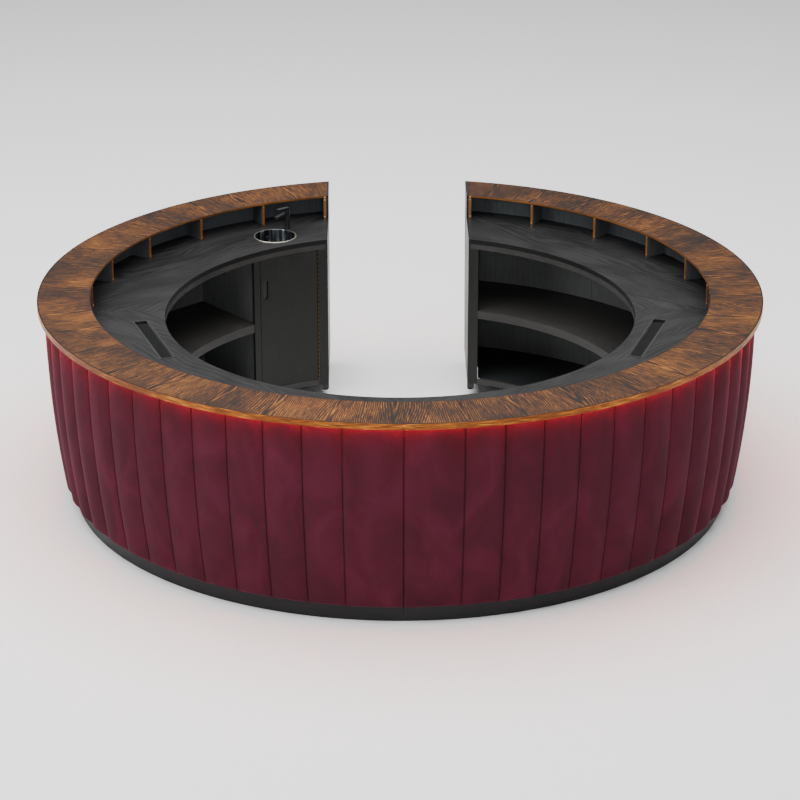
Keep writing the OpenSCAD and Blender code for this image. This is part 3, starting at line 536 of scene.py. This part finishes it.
def add_channel(work, points, swatch, style):
    """One upright padded channel: a crowned face that dives into the seams at its sides and
    turns in at its top and bottom, closed behind."""
    look = bpy.context.scene.counter_upholstery
    levels, radii = wall_line(points)
    azimuths = np.unwrap(np.arctan2(points[:, 1], points[:, 0]))
    if azimuths.max() > math.pi:
        azimuths -= 2 * math.pi
    low, high = azimuths.min(), azimuths.max()
    cut = np.abs(points[:, 0]).min()
    beside_entry = (np.abs(np.abs(points[:, 0]) - cut) < 0.05 * MM).sum() > len(levels) and \
        points[:, 1].min() > 1.0
    columns, rows = 19, 72
    gap = look.seam_gap / 2
    # The crown stops short of the drawn wall, so that the pile stays inside it
    pile_room = 1 * MM
    mirrored, shift = style
    loops = []
    for row in range(rows + 1):
        v = row / rows
        # Rows are closer together at the ends, where the face turns in
        rise = (1 - math.cos(math.pi * v)) / 2 * 0.55 + v * 0.45
        z = levels[0] + (levels[-1] - levels[0]) * rise
        radius = np.interp(z, levels, radii)
        ends = [low, high]
        if beside_entry:
            edge = math.acos(min(1.0, cut / radius))
            ends = [low, edge] if points[:, 0].mean() > 0 else [math.pi - edge, high]
        ends = [ends[0] + gap / radius, ends[1] - gap / radius]
        loop = []
        for column in range(columns + 1):
            u = column / columns
            across = (1 - math.cos(math.pi * u)) / 2 * 0.6 + u * 0.4
            at = 1 - across if mirrored else across
            tall = min(max(rise * (1 + 2 * shift) - shift, 0.0), 1.0) if 0.2 < rise < 0.8 else rise
            puff = min(max(sample(swatch, at, tall), 0.0) ** look.fullness, 1.06)
            end_fall = min(1.0, (z - levels[0]) / look.foot_round, (levels[-1] - z) / look.top_round)
            end_fall = math.sqrt(max(0.0, 1 - (1 - end_fall) ** 2))
            depth = look.seam_depth * (1 - puff * end_fall)
            reach = radius - depth - pile_room
            angle = ends[0] + (ends[1] - ends[0]) * across
            loop.append(work.verts.new((reach * math.cos(angle), reach * math.sin(angle), z)))
        back = radius - look.pad_depth
        for angle in (ends[1], ends[0]):
            loop.append(work.verts.new((back * math.cos(angle), back * math.sin(angle), z)))
        loops.append(loop)
    size = len(loops[0])
    for lower, upper in zip(loops, loops[1:]):
        for i in range(size):
            j = (i + 1) % size
            face = work.faces.new((lower[i], lower[j], upper[j], upper[i]))
            face.smooth = i < columns
    work.faces.new(reversed(loops[0]))
    work.faces.new(loops[-1])


def make_object(name, work):
    """Turns an edited mesh into an object in the scene."""
    mesh = bpy.data.meshes.new(name)
    bmesh.ops.recalc_face_normals(work, faces=work.faces)
    work.to_mesh(mesh)
    work.free()
    made = bpy.data.objects.new(name, mesh)
    bpy.context.collection.objects.link(made)
    return made


# ---------- Settings ----------
class UpholsteryProps(bpy.types.PropertyGroup):
    seam_depth: bpy.props.FloatProperty(
        name="Seam depth", description="How far the seams lie behind the crown of a channel",
        default=22 * MM, unit="LENGTH")
    seam_gap: bpy.props.FloatProperty(
        name="Seam gap", description="Gap between two channels at their seam",
        default=0.5 * MM, unit="LENGTH")
    pad_depth: bpy.props.FloatProperty(
        name="Pad depth", description="Thickness of a channel from its face to its board",
        default=24 * MM, unit="LENGTH")
    foot_round: bpy.props.FloatProperty(
        name="Foot rounding", description="Height over which a channel turns in at its foot",
        default=26 * MM, unit="LENGTH")
    top_round: bpy.props.FloatProperty(
        name="Top rounding", description="Height over which a channel turns in at its top",
        default=14 * MM, unit="LENGTH")
    fullness: bpy.props.FloatProperty(
        name="Fullness", description="Lower values make a fuller, flatter face", default=0.9)
    velvet: bpy.props.StringProperty(
        name="Velvet", description="sRGB hex colour of the pile", default="#3e101e")
    velvet_shade: bpy.props.StringProperty(
        name="Velvet shade", description="Colour where the pile leans away", default="#350d19")
    velvet_lit: bpy.props.StringProperty(
        name="Velvet lit", description="Colour where the pile leans to the light", default="#471425")
    velvet_sheen: bpy.props.StringProperty(
        name="Velvet sheen", description="Tint of the sheen at the edges", default="#901442")


class JoineryProps(bpy.types.PropertyGroup):
    top_dark: bpy.props.StringProperty(
        name="Top, dark", description="Winter wood of the bar top", default="#1a120e")
    top_mid: bpy.props.StringProperty(
        name="Top, middle", description="Main colour of the bar top", default="#2c190d")
    top_gold: bpy.props.StringProperty(
        name="Top, gold", description="Summer wood of the bar top", default="#573013")
    top_bright: bpy.props.StringProperty(
        name="Top, bright", description="Brightest streaks of the bar top", default="#9a6024")
    lip_dark: bpy.props.StringProperty(
        name="Lipping, dark", description="Dark lines of the lipping", default="#5a2c0c")
    lip_mid: bpy.props.StringProperty(
        name="Lipping, middle", description="Main colour of the lipping", default="#84480f")
    lip_light: bpy.props.StringProperty(
        name="Lipping, light", description="Light patches of the lipping", default="#c27c26")
    joint_from: bpy.props.FloatProperty(
        name="Joint start", description="Distance of a joint's inner end from the ring's centre",
        default=1.306, unit="LENGTH")
    # Painted shade: the dark end of the divider strips' colours, which the lipping's inner band uses too
    inner_band_and_strip_shade: bpy.props.StringProperty(
        name="Inner lipping", description="Stained lipping at the bar top's inner edge",
        default="#4e2e12")
    # Painted shade: the light end of the divider strips' colours, which the lipping's inner band uses too
    strip: bpy.props.StringProperty(
        name="Divider strip", description="Light grain of the divider strips", default="#8a5624")
    worktop_dark: bpy.props.StringProperty(
        name="Worktop, dark", description="Dark rings of the worktop", default="#0f0f10")
    worktop_light: bpy.props.StringProperty(
        name="Worktop, light", description="Light rings of the worktop", default="#2a2a2b")


class LightProps(bpy.types.PropertyGroup):
    colour: bpy.props.StringProperty(
        name="Colour", description="sRGB hex colour of the light strip", default="#ff2018")
    strength: bpy.props.FloatProperty(
        name="Strength", description="Brightness of the diffuser", default=100.0)


class StageProps(bpy.types.PropertyGroup):
    sky: bpy.props.FloatProperty(
        name="Surround", description="Brightness of the studio's white surround", default=0.45)
    key: bpy.props.FloatProperty(
        name="Key light", description="Power of the large soft light overhead", default=3000.0,
        unit="POWER")


# ---------- Operators ----------
class COUNTER_OT_camera(bpy.types.Operator):
    """Sets up the camera in front of the counter, above eye height"""
    bl_idname = "counter.camera"
    bl_label = "Camera"

    def execute(self, context):
        eye = bpy.data.cameras.new("camera")
        eye.lens = 121.594
        eye.sensor_width = 36.0
        eye.clip_end = 100.0
        made = bpy.data.objects.new("camera", eye)
        made.location = (-0.136, -14.136, 6.167)
        made.rotation_euler = [math.radians(a) for a in (68.051, 0.0, -0.55)]
        context.collection.objects.link(made)
        context.scene.camera = made
        return {"FINISHED"}


class COUNTER_OT_upholster(bpy.types.Operator):
    """Covers the wall with padded velvet channels, one piece for each quarter"""
    bl_idname = "counter.upholster"
    bl_label = "Velvet channels"

    def execute(self, context):
        velvet = pile_velvet()
        low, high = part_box("velvet_front_right")
        channel_width = 0.206
        swatch = inflated_swatch(channel_width, high.z - low.z)
        rng = np.random.default_rng(11)
        for quarter in QUARTERS:
            node = "velvet_" + quarter
            solids = solids_of(node)
            if len(solids) < 12:
                raise RuntimeError(f"{node} has {len(solids)} channels")
            solids.sort(key=lambda p: math.atan2(p[:, 1].mean(), p[:, 0].mean()))
            work = bmesh.new()
            for points in solids:
                style = (rng.random() < 0.5, 0.04 * rng.random())
                add_channel(work, points, swatch, style)
            pad = make_object("velvet_channels_" + quarter, work)
            pad.data.materials.append(velvet)
            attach(pad, "counter")
            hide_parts(node)
        return {"FINISHED"}


class COUNTER_OT_finish_top(bpy.types.Operator):
    """Finishes the bar top, its lipping and the strips of the dividers"""
    bl_idname = "counter.finish_top"
    bl_label = "Bar top"

    def execute(self, context):
        dress(nodes_of("bar_top_"), stained_veneer())
        dress(["bar_lipping"], edge_wood())
        dress(["divider_strips"], divider_wood())
        return {"FINISHED"}


class COUNTER_OT_seal_joints(bpy.types.Operator):
    """Runs a dark bead of sealant into the joints between the worktop's quarters"""
    bl_idname = "counter.seal_joints"
    bl_label = "Worktop joints"

    def execute(self, context):
        inner_r = context.scene.counter_joinery.joint_from
        set_back = 1 * MM
        outer_r = WORKTOP_HIGH.x - set_back
        half = 0.6 * MM
        bottom, top = WORKTOP_LOW.z + set_back, WORKTOP_HIGH.z - set_back
        # A bead's section: upright sides, and a top that dips in the middle
        section = ((-half, bottom), (half, bottom), (half, top), (0, top - 0.6 * MM), (-half, top))
        sealant = coated("black_silicone_sealant", "#0c0c0c", "#121212", 0.5, 0.001)
        for name, angle in (("front", -90), ("right", 0), ("left", 180)):
            out = Vector((math.cos(math.radians(angle)), math.sin(math.radians(angle)), 0))
            side = Vector((-out.y, out.x, 0))
            work = bmesh.new()
            loops = []
            for step in range(25):
                at = out * (inner_r + (outer_r - inner_r) * step / 24)
                loops.append([work.verts.new(at + side * s + Vector((0, 0, z))) for s, z in section])
            for near, far in zip(loops, loops[1:]):
                for i in range(len(section)):
                    j = (i + 1) % len(section)
                    work.faces.new((near[i], near[j], far[j], far[i]))
            work.faces.new(loops[0])
            work.faces.new(reversed(loops[-1]))
            bead = make_object("worktop_joint_" + name, work)
            bead.data.materials.append(sealant)
            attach(bead, "counter")
        return {"FINISHED"}


class COUNTER_OT_finish_joinery(bpy.types.Operator):
    """Finishes the worktop, the carcass, the shelves and the door"""
    bl_idname = "counter.finish_joinery"
    bl_label = "Worktop and carcass"

    def execute(self, context):
        dress(nodes_of("worktop_"), black_veneer())
        # Black stained board, painted a lighter grey as painted fill light, and paler again inside the
        # cupboards below the worktop
        inner = lacquered_board("black_stained_board", "#393c3e", "#484c4e", 0.5,
                                cupboard_fill_light=("#57585a", "#666768"))
        dress(nodes_of("back_panel_", "cubby_dividers", "carcass_partitions"), inner)
        dress(["base_boards"], lacquered_board("black_stained_base", "#1c1d1e", "#262728", 0.5))
        edge = lacquered_board("charcoal_lacquered_edge", "#2c2b2a", "#383634", 0.4, grain_up=False)
        dress(nodes_of("carcass_rails", "mid_shelf_", "foot_blocks"), edge)
        upright = lacquered_board("charcoal_lacquered_board", "#181817", "#22221f", 0.42)
        dress(nodes_of("end_", "door_stile", "service_panels") + ["door"], upright)
        plinth = lacquered_board("black_laminate_plinth", "#161618", "#1f1f22", 0.42, grain_up=False)
        dress(nodes_of("plinth_"), plinth)
        dress(["wall_ribs"], birch_plywood())
        dress(["outer_skins"], coated("black_primed_plywood", "#0c0a0b", "#161213", 0.8, 0.002))
        return {"FINISHED"}


class COUNTER_OT_finish_metal(bpy.types.Operator):
    """Finishes the sink, the tap, the trays, the hinge, the screws and the feet"""
    bl_idname = "counter.finish_metal"
    bl_label = "Metal and plastic"

    def execute(self, context):
        dress(["sink_bowl"], drawn_steel())
        dress(["sink_waste"], metal("turned_stainless_steel", "#9a9a9c", 0.2, 0.002))
        dress(nodes_of("hinge_"), knuckled_brass())
        dress(["divider_screws"], metal("polished_brass", "#f0dca0", 0.3))
        zinc = metal("zinc_plated_steel", "#b9bec4", 0.28)
        dress(["module_bolts", "corner_bracket", "supply_hoses"], zinc)
        dress(["led_profile"], metal("extruded_aluminium", "#c8cacc", 0.35, 0.001))
        dress(nodes_of("tap_"), coated("matt_black_tap_coat", "#141416", "#1d1d20", 0.34, 0.0008))
        dress(nodes_of("drip_tray_"), coated("black_powder_coat", "#1a1b1c", "#242526", 0.36, 0.0012))
        grate_coat = coated("black_grate_coat", "#0c0d0d", "#141515", 0.45, 0.0012)
        dress(nodes_of("drip_grate_", "door_grip"), grate_coat)
        dress(["levelling_feet"], coated("black_nylon", "#161616", "#202020", 0.55, 0.001))
        plastic = coated("white_polypropylene", "#d8d8d2", "#e4e4de", 0.4, 0.001)
        dress(["sink_trap", "led_driver"], plastic)
        return {"FINISHED"}


class COUNTER_OT_light_strip(bpy.types.Operator):
    """Lights the red strip under the overhang"""
    bl_idname = "counter.light_strip"
    bl_label = "Light strip"

    def execute(self, context):
        dress(["led_diffuser"], lit_diffuser())
        return {"FINISHED"}


class COUNTER_OT_stage(bpy.types.Operator):
    """Sets up a plain pale floor, a white surround and soft studio lights"""
    bl_idname = "counter.stage"
    bl_label = "Studio"

    def execute(self, context):
        look = context.scene.counter_stage
        floor_half = 30.0
        work = bmesh.new()
        bmesh.ops.create_grid(work, x_segments=4, y_segments=4, size=floor_half)
        floor = make_object("studio_floor", work)
        paint, tree, shader = start_material("pale_studio_floor")
        shader.inputs["Base Color"].default_value = linear("#f4f4f4")
        shader.inputs["Roughness"].default_value = 0.9
        shader.inputs["Specular IOR Level"].default_value = 0.0
        floor.data.materials.append(paint)
        world = bpy.data.worlds.new("studio")
        world.use_nodes = True
        surround = world.node_tree.nodes["Background"]
        surround.inputs[0].default_value = linear("#ffffff")
        surround.inputs[1].default_value = look.sky
        context.scene.world = world
        for name, place, size, share in (
                ("overhead_softbox", (-1.0, 0.0, 10.0), 14.0, 1.0),
                ("left_softbox", (-10.0, -5.0, 4.5), 5.0, 0.15),
                ("front_softbox", (1.0, -13.0, 4.0), 5.0, 0.16)):
            lamp = bpy.data.lights.new(name, "AREA")
            lamp.size = size
            lamp.energy = look.key * share
            made = bpy.data.objects.new(name, lamp)
            made.location = place
            aim = Vector((0, 0, 0.7)) - Vector(place)
            made.rotation_euler = aim.to_track_quat("-Z", "Y").to_euler()
            context.collection.objects.link(made)
        return {"FINISHED"}


class COUNTER_PT_panel(bpy.types.Panel):
    """Lists the steps that finish the counter"""
    bl_idname = "COUNTER_PT_panel"
    bl_label = "Round Bar Counter"
    bl_space_type = "VIEW_3D"
    bl_region_type = "UI"
    bl_category = "Counter"

    def draw(self, context):
        for step in STEPS:
            self.layout.operator(step.bl_idname)


GROUPS = {"counter_upholstery": UpholsteryProps, "counter_joinery": JoineryProps,
          "counter_light": LightProps, "counter_stage": StageProps}
STEPS = (COUNTER_OT_camera, COUNTER_OT_upholster, COUNTER_OT_finish_top, COUNTER_OT_seal_joints,
         COUNTER_OT_finish_joinery, COUNTER_OT_finish_metal, COUNTER_OT_light_strip,
         COUNTER_OT_stage)


def register():
    for group in GROUPS.values():
        bpy.utils.register_class(group)
    for name, group in GROUPS.items():
        setattr(bpy.types.Scene, name, bpy.props.PointerProperty(type=group))
    for step in STEPS + (COUNTER_PT_panel,):
        bpy.utils.register_class(step)


def unregister():
    for step in reversed(STEPS + (COUNTER_PT_panel,)):
        bpy.utils.unregister_class(step)
    for name, group in GROUPS.items():
        delattr(bpy.types.Scene, name)
        bpy.utils.unregister_class(group)


def main():
    register()
    bpy.ops.counter.camera()
    bpy.ops.counter.upholster()
    bpy.ops.counter.finish_top()
    bpy.ops.counter.seal_joints()
    bpy.ops.counter.finish_joinery()
    bpy.ops.counter.finish_metal()
    bpy.ops.counter.light_strip()
    bpy.ops.counter.stage()


if __name__ == "__main__":
    main()
